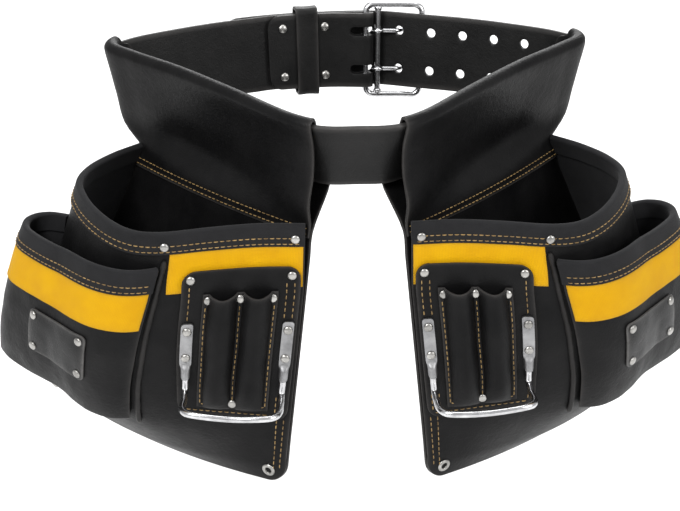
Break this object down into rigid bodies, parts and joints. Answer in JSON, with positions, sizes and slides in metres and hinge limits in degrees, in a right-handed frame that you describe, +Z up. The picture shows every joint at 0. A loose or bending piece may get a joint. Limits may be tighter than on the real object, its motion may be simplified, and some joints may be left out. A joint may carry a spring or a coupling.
{
  "type": "tool belt",
  "caption": "Leather waist belt with a double-tongue roller buckle and a hanging pouch on each hip, each with nested pockets, a slotted tool panel and a steel hammer loop.",
  "frame": {"origin": "centre of the waist loop at the belt's mid-height, which is the mount waist", "axes": "+Z up; the wearer faces -Y, so the buckle is at +Y; +X is the right of someone who faces the wearer"},
  "size_m": [0.5366, 0.2813, 0.3034],
  "materials": {
    "oiled_leather": "black oiled full-grain leather with a soft sheen",
    "suede": "black suede hem",
    "yellow_webbing": "golden yellow woven band",
    "steel": "bright polished steel",
    "nickel": "nickel-plated cap rivets"
  },
  "bodies": {
    "root": {"belt_strap": "oiled_leather", "belt_keeper": "oiled_leather", "buckle_frame": "steel", "buckle_roller": "steel", "buckle_tongue_upper": "steel", "buckle_tongue_lower": "steel", "belt_rivet_1": "nickel", "belt_rivet_2": "nickel", "belt_rivet_3": "nickel", "belt_rivet_4": "nickel", "right_saddle": "oiled_leather", "right_main_pocket": "oiled_leather", "right_main_rim": "suede", "right_main_band": "yellow_webbing", "right_outer_pocket": "oiled_leather", "right_outer_rim": "suede", "right_outer_band": "yellow_webbing", "right_outer_piping": "oiled_leather", "right_tool_panel": "oiled_leather", "right_slot_pocket": "oiled_leather", "right_hammer_loop": "steel", "right_name_patch": "oiled_leather", "right_rim_rivet": "nickel", "right_seam_rivet": "nickel", "right_panel_rivet_inner": "nickel", "right_panel_rivet_outer": "nickel", "right_slot_rivet_inner": "nickel", "right_slot_rivet_middle": "nickel", "right_slot_rivet_outer": "nickel", "right_loop_rivet_inner_top": "nickel", "right_loop_rivet_inner_low": "nickel", "right_loop_rivet_outer_top": "nickel", "right_loop_rivet_outer_low": "nickel", "right_corner_rivet": "nickel", "right_corner_eyelet": "nickel", "left_saddle": "oiled_leather", "left_main_pocket": "oiled_leather", "left_main_rim": "suede", "left_main_band": "yellow_webbing", "left_outer_pocket": "oiled_leather", "left_outer_rim": "suede", "left_outer_band": "yellow_webbing", "left_outer_piping": "oiled_leather", "left_tool_panel": "oiled_leather", "left_slot_pocket": "oiled_leather", "left_hammer_loop": "steel", "left_name_patch": "oiled_leather", "left_rim_rivet": "nickel", "left_seam_rivet": "nickel", "left_panel_rivet_inner": "nickel", "left_panel_rivet_outer": "nickel", "left_slot_rivet_inner": "nickel", "left_slot_rivet_middle": "nickel", "left_slot_rivet_outer": "nickel", "left_loop_rivet_inner_top": "nickel", "left_loop_rivet_inner_low": "nickel", "left_loop_rivet_outer_top": "nickel", "left_loop_rivet_outer_low": "nickel", "left_corner_rivet": "nickel", "left_corner_eyelet": "nickel"}
  },
  "joints": []
}
